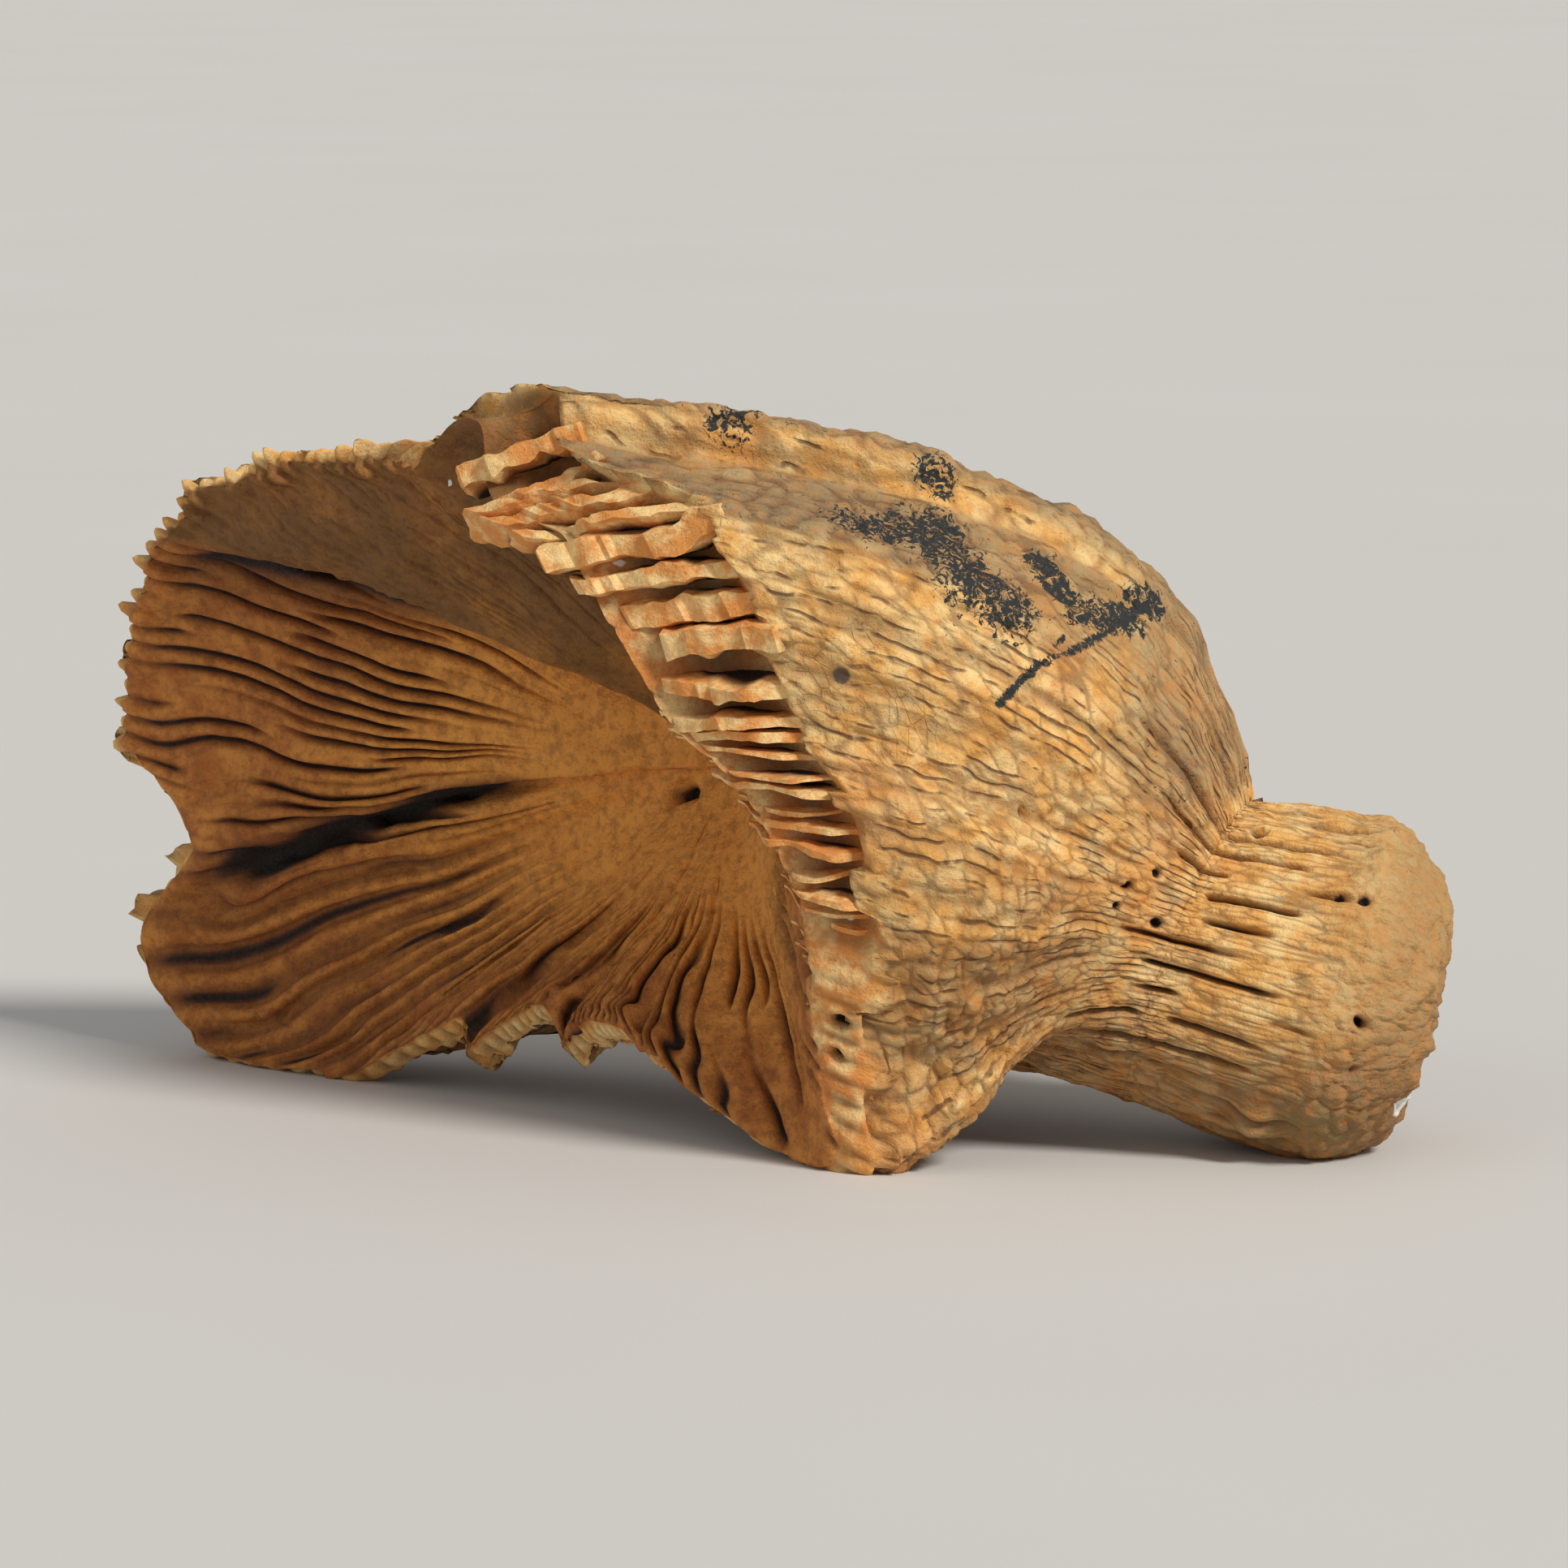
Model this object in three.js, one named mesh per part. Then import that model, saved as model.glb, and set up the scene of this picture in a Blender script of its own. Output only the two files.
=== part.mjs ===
// A fossil solitary horn coral, lying on its side with its cup open to the front left.
// It is one stony piece: a blunt foot, a short stalk, and a cup that flares into a lobed, lopsided mouth.
// Thin upright plates (septa) line the cup, and carry on down the outside as ribs.
// Millimetres, +Z up, +Y to the back. The origin is at the bottom centre of the specimen's box.

import * as THREE from "three";
import { mergeVertices } from "three/addons/utils/BufferGeometryUtils.js";

// Counts
const SEPTA = 76; // plates around the cup, each a ridge and a slot
const STALK_RIBS = SEPTA / 2; // every second rib reaches the stalk
const COLUMNS = SEPTA * 2;
const STALK_ROWS = 9;
const WALL_ROWS = 10;
const SHELF_ROWS = 3;
const CUP_ROWS = 10;

// Stalk, from the end of the foot to the neck, in the specimen's own coordinates
const FOOT_END = new THREE.Vector3(26.3, -3.1, -9.0);
const NECK = new THREE.Vector3(15.5, -1.9, -6.4);
const NECK_RADIUS = 6.5;
const FOOT_RADIUS = 7.1;
const FOOT_LENGTH = 5.5; // to the foot's full width
const FOOT_SHOULDER = 2.6; // to where its end rounds over
const FOOT_FACE = 0.25; // how far the blunt end bows out

// Mouth, turned from -X towards the front and tipped a little down
const MOUTH_CENTRE = new THREE.Vector3(-11.9, 1.9, -1.4);
const MOUTH_TURN = 46; // degrees
const MOUTH_DIP = 12; // degrees

// Rim by clock angle, seen from outside the mouth: 0 is the near side, 90 the top, 180 the far side.
// Columns: clock in degrees, reach from the mouth's centre, height above the mouth's plane.
const RIM = [
  [-38, 23.2, 0], // spur that touches the ground
  [-28, 21.6, 0],
  [-18, 20.8, 0],
  [1, 20.9, 0],
  [16, 19.8, 0.3],
  [30, 20.2, 0.5],
  [41, 21.0, 0.5],
  [50, 19.5, 0.3],
  [57, 18.1, 0],
  [64, 18.2, -0.4],
  [69, 20.0, -0.6], // flute
  [75, 19.3, -0.8],
  [82, 17.4, -0.9],
  [90, 15.6, -0.8],
  [108, 16.0, -0.3],
  [125, 17.8, 0],
  [145, 20.3, 0],
  [158, 21.6, 0], // upper far lobe
  [177, 22.6, 0],
  [183, 20.6, 0],
  [190, 19.8, 0], // notch between the two far lobes
  [194, 22.2, 0],
  [198, 25.4, 0],
  [203, 26.4, 0], // lower far lobe
  [209, 25.2, 0],
  [218, 22.4, 0],
  [230, 17.6, -0.5],
  [240, 13.3, -0.9],
  [250, 11.0, -1.2],
  [270, 10.2, -1.5],
  [286, 10.5, -1.3],
  [300, 11.7, -1.0],
  [309, 14.0, -0.6],
];

// Outer wall: how it leaves the neck and arrives at the rim.
// Each value swells from plain to steep towards one clock angle in degrees.
const NECK_TILT = { plain: 0.0, steep: 0.18, towards: 92, sharpness: 2 }; // share of the stalk cut short
const LAUNCH = { plain: 0.0, steep: 17.2, towards: 112, sharpness: 2 }; // outwards from the neck
const DRIVE = { plain: 6.0, steep: 5.0, towards: 100 }; // along the stalk
const ARRIVE = { plain: 5.0, steep: 15.0, towards: 120 }; // length of the run up to the rim
const FLARE = { plain: -0.1, steep: 1.0, towards: 268, sharpness: 3 }; // outward lean at the rim
const BACKWARD = { plain: 0.0, steep: 1.0, towards: 212, sharpness: 4 }; // turn out of the mouth

// Rim shelf: the plates' worn upper edges between the outer edge and the crest
const SHELF = { plain: 1.2, steep: 5.6, towards: 40, sharpness: 7 };
const CREST_FORWARD = 0.75; // shares of the shelf's width
const CREST_INWARD = 0.65;
const SQUARE = { plain: 0.0, steep: 1.0, towards: 242, sharpness: 12 }; // where it lies square to the edge
const SHELF_DIP = 0.15;

// Cup, from the crest to its deepest point
const CUP_DEPTH = 10.5;
const PIT_SHIFT = new THREE.Vector2(3.2, -1.0); // off the mouth's centre, to the near side and the top
const PIT_RADIUS = 6.0;
const PIT_RISE = 2.2;
const CUP_DIVE = { plain: 1.0, steep: 5.0, towards: 120 }; // how steeply it leaves the crest
const CUP_LEAN = 2.2;
const FLOOR_RISE = { plain: 0.0, steep: 2.0, towards: 285, sharpness: 3 }; // thicker floor under the cup

// The fold where the upper far lobe stands forward of the lower one
const FOLD_CLOCK = 193;
const FOLD_DEPTH = 1.8;
const FOLD_RISE = 45; // degrees over which the upper lobe comes forward
const FOLD_DROP = 3; // degrees over which the lower lobe falls back

// The thick top lip, and the crease behind it where it meets the far wall
const LIP_RISE = 1.3;
const LIP_SPREAD = 70; // degrees over which the lip thickens
const LIP_EDGE = 5; // degrees over which it drops into the crease
const CREASE_CLOCK = 151; // at the rim
const CREASE_TURN = -42; // degrees that it turns on its way to the pit
const CREASE_DEPTH = 1.3;
const CREASE_WIDTH = 14; // degrees

// Relief
const SLOT_DEPTH = 0.6; // between two plates in the cup
const SLOT_AT_RIM = 0.3; // share of that depth in the thin rim
const RIB_HEIGHT = 0.28;
const TOOTH_LENGTH = 0.9; // plates past the slots on the near rim's shelf
const TOOTHED = { plain: 0.0, steep: 1.0, towards: 15, sharpness: 6 }; // share of it around the rim
const PLATE_JITTER = 0.25;
const LUMP_HEIGHT = 0.3; // worn lumps on the foot and the outer wall
const LUMP_SIZE = 3.2;

// The surface that the specimen lies on, and the middle of its box
const GROUND = -14.6;
const BOX_CENTRE = new THREE.Vector2(-0.72, 4.1);

const { degToRad, euclideanModulo, lerp, radToDeg, smoothstep } = THREE.MathUtils;

// Directions: along the stalk, out of the mouth, and the mouth's near side and top
const STALK_AXIS = NECK.clone().sub(FOOT_END).normalize();
const STALK_LENGTH = NECK.distanceTo(FOOT_END);
const turn = degToRad(MOUTH_TURN);
const dip = degToRad(MOUTH_DIP);
const MOUTH_AXIS = new THREE.Vector3(
  -Math.cos(turn) * Math.cos(dip),
  -Math.sin(turn) * Math.cos(dip),
  -Math.sin(dip),
);
const NEAR = new THREE.Vector3(Math.sin(turn), -Math.cos(turn), 0);
const TOP = MOUTH_AXIS.clone().cross(NEAR);
const STALK_NEAR = NEAR.clone().projectOnPlane(STALK_AXIS).normalize();
const STALK_TOP = STALK_AXIS.clone().cross(STALK_NEAR);
const PIT = MOUTH_CENTRE.clone()
  .addScaledVector(MOUTH_AXIS, -CUP_DEPTH)
  .addScaledVector(NEAR, PIT_SHIFT.x)
  .addScaledVector(TOP, PIT_SHIFT.y);

// Outward directions at a clock angle, in the mouth's plane and across the stalk
function mouthOut(clock) {
  return NEAR.clone().multiplyScalar(Math.cos(clock)).addScaledVector(TOP, Math.sin(clock));
}

function stalkOut(clock) {
  return STALK_NEAR.clone().multiplyScalar(Math.cos(clock)).addScaledVector(STALK_TOP, Math.sin(clock));
}

// A value that swells smoothly from plain to steep around one clock angle
function swell({ plain, steep, towards, sharpness = 1 }, clock) {
  const share = 0.5 + 0.5 * Math.cos(clock - degToRad(towards));
  return lerp(plain, steep, share ** sharpness);
}

// Degrees from one clock angle to another, between -180 and 180
function degreesPast(clock, mark) {
  return euclideanModulo(radToDeg(clock) - mark + 180, 360) - 180;
}

// A smooth closed curve through one column of the rim table
function rimValue(clock, column) {
  const count = RIM.length;
  const first = RIM[0][0];
  const degrees = euclideanModulo(radToDeg(clock) - first, 360) + first;
  const at = (i) => {
    const station = RIM[euclideanModulo(i, count)];
    return [station[0] + 360 * Math.floor(i / count), station[column]];
  };
  let i = 0;
  while (at(i + 1)[0] <= degrees) i++;
  const [before, left, right, after] = [at(i - 1), at(i), at(i + 1), at(i + 2)];
  const width = right[0] - left[0];
  const t = (degrees - left[0]) / width;
  const slopeLeft = ((right[1] - before[1]) / (right[0] - before[0])) * width;
  const slopeRight = ((after[1] - left[1]) / (after[0] - left[0])) * width;
  return (
    (2 * t ** 3 - 3 * t ** 2 + 1) * left[1] +
    (t ** 3 - 2 * t ** 2 + t) * slopeLeft +
    (3 * t ** 2 - 2 * t ** 3) * right[1] +
    (t ** 3 - t ** 2) * slopeRight
  );
}

// How far the upper far lobe stands forward over the lower one
function foldLift(clock) {
  const past = degreesPast(clock, FOLD_CLOCK);
  return FOLD_DEPTH * (past < 0 ? smoothstep(past, -FOLD_RISE, 0) : 1 - smoothstep(past, 0, FOLD_DROP));
}

// How far the cup's lining stands forward: the lip, and the crease behind it
function liningLift(clock, t) {
  const middle = smoothstep(t, 0.02, 0.2) * (1 - smoothstep(t, 0.6, 0.9));
  const past = degreesPast(clock, CREASE_CLOCK + CREASE_TURN * t);
  const lip = smoothstep(past, -LIP_SPREAD, -2 * LIP_EDGE) * (1 - smoothstep(past, -LIP_EDGE, 0));
  const crease = Math.exp(-Math.abs(past) / (past < 0 ? LIP_EDGE : CREASE_WIDTH));
  return middle * (LIP_RISE * lip - CREASE_DEPTH * crease);
}

// Away from the mouth's centre, or squarely across the edge where the rim runs in under the lower lobe
function rimOut(clock) {
  const step = 0.02;
  const out = mouthOut(clock);
  const slope = (rimValue(clock + step, 1) - rimValue(clock - step, 1)) / (2 * step);
  const along = mouthOut(clock + Math.PI / 2);
  const square = out.clone().multiplyScalar(rimValue(clock, 1)).addScaledVector(along, -slope);
  return out.lerp(square.normalize(), swell(SQUARE, clock)).normalize();
}

// The way that the rim faces: along the stalk, or out of the mouth on the lower far side
function forward(clock) {
  return STALK_AXIS.clone().lerp(MOUTH_AXIS, swell(BACKWARD, clock));
}

// The outer edge of the rim and the crest of the plates inside it
function rimEdge(clock) {
  return MOUTH_CENTRE.clone()
    .addScaledVector(mouthOut(clock), rimValue(clock, 1))
    .addScaledVector(MOUTH_AXIS, rimValue(clock, 2));
}

function rimCrest(clock) {
  const width = swell(SHELF, clock);
  return rimEdge(clock)
    .addScaledVector(forward(clock), CREST_FORWARD * width)
    .addScaledVector(rimOut(clock), -CREST_INWARD * width);
}

// The stalk's profile: distance from the end of the foot, and radius
const STALK_PROFILE = new THREE.SplineCurve([
  new THREE.Vector2(0, 0),
  new THREE.Vector2(FOOT_FACE, 0.62 * FOOT_RADIUS),
  new THREE.Vector2(FOOT_SHOULDER, 0.97 * FOOT_RADIUS),
  new THREE.Vector2(FOOT_LENGTH, FOOT_RADIUS),
  new THREE.Vector2(0.85 * STALK_LENGTH, 1.02 * NECK_RADIUS),
  new THREE.Vector2(STALK_LENGTH, NECK_RADIUS),
]);

function stalkPoint(clock, t) {
  const { x, y } = STALK_PROFILE.getPoint(t);
  const reach = x * (1 - swell(NECK_TILT, clock) * t ** 2);
  return FOOT_END.clone().addScaledVector(STALK_AXIS, reach).addScaledVector(stalkOut(clock), y);
}

function wallPoint(clock, t) {
  const start = stalkPoint(clock, 1);
  const leave = start
    .clone()
    .addScaledVector(stalkOut(clock), swell(LAUNCH, clock))
    .addScaledVector(STALK_AXIS, swell(DRIVE, clock));
  const end = rimEdge(clock);
  const heading = forward(clock).addScaledVector(mouthOut(clock), swell(FLARE, clock)).normalize();
  const arrive = end.clone().addScaledVector(heading, -swell(ARRIVE, clock));
  return new THREE.CubicBezierCurve3(start, leave, arrive, end).getPoint(t);
}

function shelfPoint(clock, t) {
  return rimEdge(clock).lerp(rimCrest(clock), t);
}

function cupPoint(clock, t) {
  const start = rimCrest(clock);
  const out = mouthOut(clock);
  const lift = foldLift(clock) + swell(FLOOR_RISE, clock);
  const leave = start
    .clone()
    .addScaledVector(STALK_AXIS, -swell(CUP_DIVE, clock))
    .addScaledVector(rimOut(clock), -CUP_LEAN)
    .addScaledVector(MOUTH_AXIS, lift);
  const settle = PIT.clone()
    .addScaledVector(out, PIT_RADIUS)
    .addScaledVector(MOUTH_AXIS, PIT_RISE + lift);
  const plain = new THREE.CubicBezierCurve3(start, leave, settle, PIT).getPoint(t);
  return plain.addScaledVector(MOUTH_AXIS, liningLift(clock, t));
}

// The plain skin, from the end of the foot over the rim to the bottom of the cup.
// Each whole step of along is one section: stalk, wall, shelf, cup.
const SECTIONS = [stalkPoint, wallPoint, shelfPoint, cupPoint];

function skinPoint(clock, along) {
  const section = Math.min(Math.floor(along), SECTIONS.length - 1);
  return SECTIONS[section](clock, along - section);
}

function skinNormal(clock, along) {
  const step = 0.01;
  const before = skinPoint(clock, Math.max(along - step, 0));
  const after = skinPoint(clock, Math.min(along + step, SECTIONS.length));
  const round = skinPoint(clock + step, along).sub(skinPoint(clock - step, along));
  return round.cross(after.sub(before)).normalize();
}

// A repeatable value from -1 to 1 for each plate
function plateJitter(plate) {
  const wave = Math.sin(plate * 127.1 + 311.7) * 43758.5453;
  return 2 * (wave - Math.floor(wave)) - 1;
}

// Worn lumps, as crossed waves through space
function lumps({ x, y, z }) {
  const turns = (2 * Math.PI) / LUMP_SIZE;
  const [a, b, c] = [x + 0.6 * y, y - 0.5 * z, z + 0.4 * x].map((place) => Math.sin(place * turns * 0.5));
  return (LUMP_HEIGHT * (a * b + b * c + c * a)) / 1.5;
}

// Height of ribs, plates and slots above the plain skin
function relief(clock, along, point) {
  const plate = (clock / (2 * Math.PI)) * SEPTA;
  const ridge = Math.cos(2 * Math.PI * plate); // 1 on a plate, -1 in a slot
  const stalkRidge = Math.cos(clock * STALK_RIBS);
  const jitter = PLATE_JITTER * plateJitter(euclideanModulo(Math.round(plate), SEPTA));
  const section = Math.floor(along);
  const t = along - section;
  if (section === 0) {
    const ribbed = smoothstep(t, 0.45, 0.8);
    return RIB_HEIGHT * stalkRidge * ribbed + lumps(point) * smoothstep(t, 0, 0.2) * (1 - 0.6 * ribbed);
  }
  if (section === 1) {
    const ribs = RIB_HEIGHT * lerp(stalkRidge, ridge, smoothstep(t, 0.1, 0.6));
    return ribs + 0.4 * lumps(point);
  }
  if (section === 2) {
    const dip = SHELF_DIP * (swell(SHELF, clock) - SHELF.plain) * Math.sin(Math.PI * t);
    return swell(TOOTHED, clock) * ((TOOTH_LENGTH / 2) * (ridge - 1) + jitter) - dip;
  }
  const share = lerp(SLOT_AT_RIM, 1, smoothstep(t, 0, 0.35)) * smoothstep(1 - t, 0.05, 0.5);
  return share * ((SLOT_DEPTH / 2) * (ridge - 1) + jitter * (1 - t));
}

// A point of the coral, held above the ground and moved to the part's origin
function coralPoint(clock, along) {
  const point = skinPoint(clock, along);
  point.addScaledVector(skinNormal(clock, along), relief(clock, along, point));
  point.z = Math.max(point.z, GROUND);
  return point.sub(new THREE.Vector3(BOX_CENTRE.x, BOX_CENTRE.y, GROUND));
}

// Rows over the four sections, as one rising list of along values
function rowStops() {
  const counts = [STALK_ROWS, WALL_ROWS, SHELF_ROWS, CUP_ROWS];
  const stops = counts.flatMap((count, section) =>
    Array.from({ length: count }, (_, row) => section + row / count),
  );
  return [...stops, SECTIONS.length];
}

// A sphere's grid of columns and rows, with its two poles at the foot and in the cup, moved onto the coral
function coralGeometry() {
  const stops = rowStops();
  const geometry = new THREE.SphereGeometry(1, COLUMNS, stops.length - 1);
  const { position, uv } = geometry.attributes;
  for (let i = 0; i < position.count; i++) {
    const row = Math.round((1 - uv.getY(i)) * (stops.length - 1));
    const column = Math.round(uv.getX(i) * COLUMNS) % COLUMNS;
    const point = coralPoint((-2 * Math.PI * column) / COLUMNS, stops[row]);
    position.setXYZ(i, point.x, point.y, point.z);
  }
  geometry.deleteAttribute("normal");
  geometry.deleteAttribute("uv");
  const merged = mergeVertices(geometry, 1e-4);
  merged.computeVertexNormals();
  return merged;
}

const stone = new THREE.MeshStandardMaterial({ color: 0xd2a766, roughness: 0.85, metalness: 0 });
const coral = new THREE.Mesh(coralGeometry(), stone);
coral.name = "horn_coral";

const specimen = new THREE.Group();
specimen.add(coral);

export default specimen;
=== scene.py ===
"""A fossil horn coral lying on a pale floor: one worn stony piece with ribs, septa and a flaky rim."""

import itertools
import math

import bpy
import numpy as np
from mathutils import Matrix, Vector


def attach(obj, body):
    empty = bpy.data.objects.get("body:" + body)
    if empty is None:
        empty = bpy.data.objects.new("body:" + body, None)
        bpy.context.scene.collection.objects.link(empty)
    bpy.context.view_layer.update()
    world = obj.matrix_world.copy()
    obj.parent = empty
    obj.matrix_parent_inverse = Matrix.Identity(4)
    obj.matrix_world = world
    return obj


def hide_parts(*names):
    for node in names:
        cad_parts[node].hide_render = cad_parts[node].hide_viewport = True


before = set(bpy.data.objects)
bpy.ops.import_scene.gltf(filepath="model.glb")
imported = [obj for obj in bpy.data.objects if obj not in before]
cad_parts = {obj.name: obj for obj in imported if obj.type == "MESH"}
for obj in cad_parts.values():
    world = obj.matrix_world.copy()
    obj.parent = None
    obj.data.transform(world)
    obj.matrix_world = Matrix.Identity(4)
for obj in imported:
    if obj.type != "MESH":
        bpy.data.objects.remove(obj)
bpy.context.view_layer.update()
MM = 0.001

# Form, in millimetres, in the specimen's own coordinates: the solid's, but for the turn of fold and crease
FOOT_END = np.array([26.3, -3.1, -9.0])
NECK = np.array([15.5, -1.9, -6.4])
NECK_RADIUS = 6.5
FOOT_RADIUS = 7.1
FOOT_LENGTH = 5.5
FOOT_SHOULDER = 2.6
FOOT_FACE = 0.25
MOUTH_CENTRE = np.array([-11.9, 1.9, -1.4])
MOUTH_TURN = math.radians(46)
MOUTH_DIP = math.radians(12)
CUP_DEPTH = 10.5
PIT_SHIFT = (3.2, -1.0)
PIT_RADIUS = 6.0
PIT_RISE = 2.2
CUP_LEAN = 2.2
CREST_FORWARD = 0.75
CREST_INWARD = 0.65
FOLD_CLOCK = 193
FOLD_DEPTH = 1.8
FOLD_RISE = 45
FOLD_DROP = 3
FOLD_TURN = -19
CREASE_CLOCK = 151
CREASE_TURN = -24
CREASE_DEPTH = 1.3
CREASE_WIDTH = 14
LIP_RISE = 1.3
LIP_SPREAD = 70
SLIT_CLOCK = 194.5
SLIT_WIDTH = 2.4
SLIT_DEPTH = 1.5
GROUND = -14.6
BOX_CENTRE = (-0.72, 4.1)
ORIGIN = np.array([BOX_CENTRE[0], BOX_CENTRE[1], GROUND])

# Values that swell from plain to steep towards one clock angle: plain, steep, towards, sharpness
NECK_TILT = (0.0, 0.18, 92, 2)
LAUNCH = (0.0, 17.2, 112, 2)
DRIVE = (6.0, 5.0, 100, 1)
ARRIVE = (5.0, 15.0, 120, 1)
FLARE = (-0.1, 1.0, 268, 3)
BACKWARD = (0.0, 1.0, 212, 4)
SHELF = (1.2, 5.6, 40, 7)
SQUARE = (0.0, 1.0, 242, 12)
CUP_DIVE = (1.0, 5.0, 120, 1)
FLOOR_RISE = (0.0, 2.0, 285, 3)

# Rim by clock angle: degrees, reach from the mouth's centre, height above the mouth's plane
RIM = np.array([
    (-38, 23.2, 0), (-28, 21.6, 0), (-18, 20.8, 0), (1, 20.9, 0), (16, 19.8, 0.3), (30, 20.2, 0.5),
    (41, 21.0, 0.5), (50, 19.5, 0.3), (57, 18.1, 0), (64, 18.2, -0.4), (69, 20.0, -0.6), (75, 19.3, -0.8),
    (82, 17.4, -0.9), (90, 15.6, -0.8), (108, 16.0, -0.3), (125, 17.8, 0), (145, 20.3, 0), (158, 21.6, 0),
    (177, 22.6, 0), (183, 20.6, 0), (190, 19.8, 0), (194, 22.2, 0), (198, 25.4, 0), (203, 26.4, 0),
    (209, 25.2, 0), (218, 22.4, 0), (230, 17.6, -0.5), (240, 13.3, -0.9), (250, 11.0, -1.2),
    (270, 10.2, -1.5), (286, 10.5, -1.3), (300, 11.7, -1.0), (309, 14.0, -0.6),
])

# Hooked teeth on the lower rim: clock angle and length
TEETH = [(211.5, 0.7), (227.5, 0.9), (249.5, 2.1), (276, 1.6), (302.5, 1.3), (308.5, 1.2)]
TOOTH_BACK = 6.0
TOOTH_FRONT = 1.0
RAGGED_RIM = 0.35

# Places by clock angle: single angles, and first and last ones
LEDGE_CLOCK = 56
FLUTE_CLOCK = 74
BRICK_CLOCK = 38
FLUTE_SHADE = (57, 98)
BEAD_CLOCKS = (82, 176)
LOWER_LOBE = (200, 268)
LIP_CLOCKS = (40, 160)
LIP_SHADE = (35, 160)
FLAKE_CLOCKS = (-30, 54)

# Counts: ribs on the stalk, septa in the cup, and plates along the rim
STALK_RIBS = 38
SEPTA = 76
PLATES = 152

# Nets: columns in each rib that faces the front and in each other one, and rows of each section
NEAR_COLUMNS = 6
FAR_COLUMNS = 2
NEAR_RIBS = (-52, 118)  # clock angles of the outside that faces the front
SHOWN_COLUMNS = 6
HIDDEN_COLUMNS = 2
GROOVE_CROWD = 0.5  # how closely a septum's columns crowd together in its groove
SHOWN_LINING = (95, 335)  # clock angles of the cup's lining that faces the front
PIT_COLUMNS = 152
STALK_ROWS = 104
WALL_ROWS = 132
EDGE_ROWS = 10
SHELF_ROWS = 14
CUP_ROWS = 84
PIT_ROWS = 8
EDGE_START = 1.94
PIT_START = 3.8
TRAVEL = [0, 19, 52, 55, 79]  # rough distance along the skin at the end of each section
SEAM_CLOCK = 250  # where the count of ribs starts, on the underside
PLATE_CLOCKS = (-40, 63)
HOLLOW_CLOCKS = (-8, 66)  # the shelf is hollow between its plates here
CHUNKY_CLOCK = 16  # past this every second plate is left, thick and broken in steps
PLATE_STEPS = 34
PLATE_LEVELS = 7
PLATE_EDGE = math.radians(38)  # sharper folds than this stay crisp on the plates
SEARCH_OUTER = (456, 160)  # columns and rows of the nets that find places in the photograph
SEARCH_LINING = (304, 70)

# Camera: the photograph's frame is 64.4 mm wide at the specimen's middle
FRAME_SIDE = 1932
PIXELS_PER_MM = 30
CAMERA_DISTANCE = 300
CAMERA_RISE = math.radians(8)
VIEW_RIGHT = np.array([1.0, 0.0, 0.0])
VIEW_UP = np.array([0.0, math.sin(CAMERA_RISE), math.cos(CAMERA_RISE)])
VIEW_BACK = np.array([0.0, -math.cos(CAMERA_RISE), math.sin(CAMERA_RISE)])
SENSOR_WIDTH = 36

# Floor and light, in metres: where the two suns stand, how strong they are, and how wide they look
FLOOR_HALF = 6.0
LIGHT_TARGET = Vector((0, 0, 0.015))
KEY_PLACE = (0.32, -0.38, 0.44)
KEY_POWER = 2.6
KEY_ANGLE = math.radians(14)
FILL_PLACE = (-0.5, -0.4, 0.35)
FILL_POWER = 0.2
FILL_ANGLE = math.radians(60)
ROOM_LIGHT = 0.34


# Small helpers

def unit(vector):
    return vector / (np.linalg.norm(vector, axis=-1, keepdims=True) + 1e-12)


def smoothstep(value, low, high):
    share = np.clip((value - low) / (high - low), 0, 1)
    return share * share * (3 - 2 * share)


def mixed(low, high, share):
    return low + (high - low) * share


def bump(value, centre, width):
    return np.exp(-((value - centre) / width)**2)


def degrees_past(clock, mark):
    return (np.degrees(clock) - mark + 180) % 360 - 180


def within(clock, first, last, soft):
    """1 between two clock angles, fading to 0 outside them."""
    past = degrees_past(clock, (first + last) / 2)
    half = (last - first) / 2
    return 1 - smoothstep(np.abs(past), half, half + soft)


def swell(lobe, clock):
    plain, steep, towards, sharpness = lobe
    share = 0.5 + 0.5 * np.cos(clock - math.radians(towards))
    return plain + (steep - plain) * share**sharpness


# Noise: repeatable values on a lattice, smooth lumps, and round cells

WORD = np.uint64(0xFFFFFFFF)
BYTE = np.uint64(0xFF)


def scrambled(cells, seed):
    """A repeatable 32-bit word for each whole-numbered cell."""
    x, y, z = ((cells[..., i].astype(np.int64) & 0xFFFFFFFF).astype(np.uint64) for i in range(3))
    word = x * np.uint64(374761393) + y * np.uint64(668265263) + z * np.uint64(1440662683)
    word = (word + np.uint64(seed * 1274126177 + 97)) & WORD
    for shift in (13, 15):
        word = ((word ^ (word >> np.uint64(shift))) * np.uint64(2246822519)) & WORD
    return word ^ (word >> np.uint64(16))


def chance(cells, seed):
    return scrambled(cells, seed).astype(float) / 0xFFFFFFFF


def strand_chance(strand, seed):
    return chance(np.stack([strand, strand * 0, strand * 0 + 5], -1), seed)


def lump_noise(points, size, seed):
    """Smooth noise from -1 to 1 with lumps of a size."""
    place = points / size
    cell = np.floor(place)
    part = place - cell
    part = part * part * (3 - 2 * part)
    total = 0
    for corner in itertools.product((0, 1), repeat=3):
        weight = np.prod(np.where(corner, part, 1 - part), axis=-1)
        total = total + weight * chance(cell + np.array(corner), seed)
    return 2 * total - 1


def rough_noise(points, size, seed, octaves=3):
    return sum(lump_noise(points, size / 2**k, seed + k) / 2**k for k in range(octaves))


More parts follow.
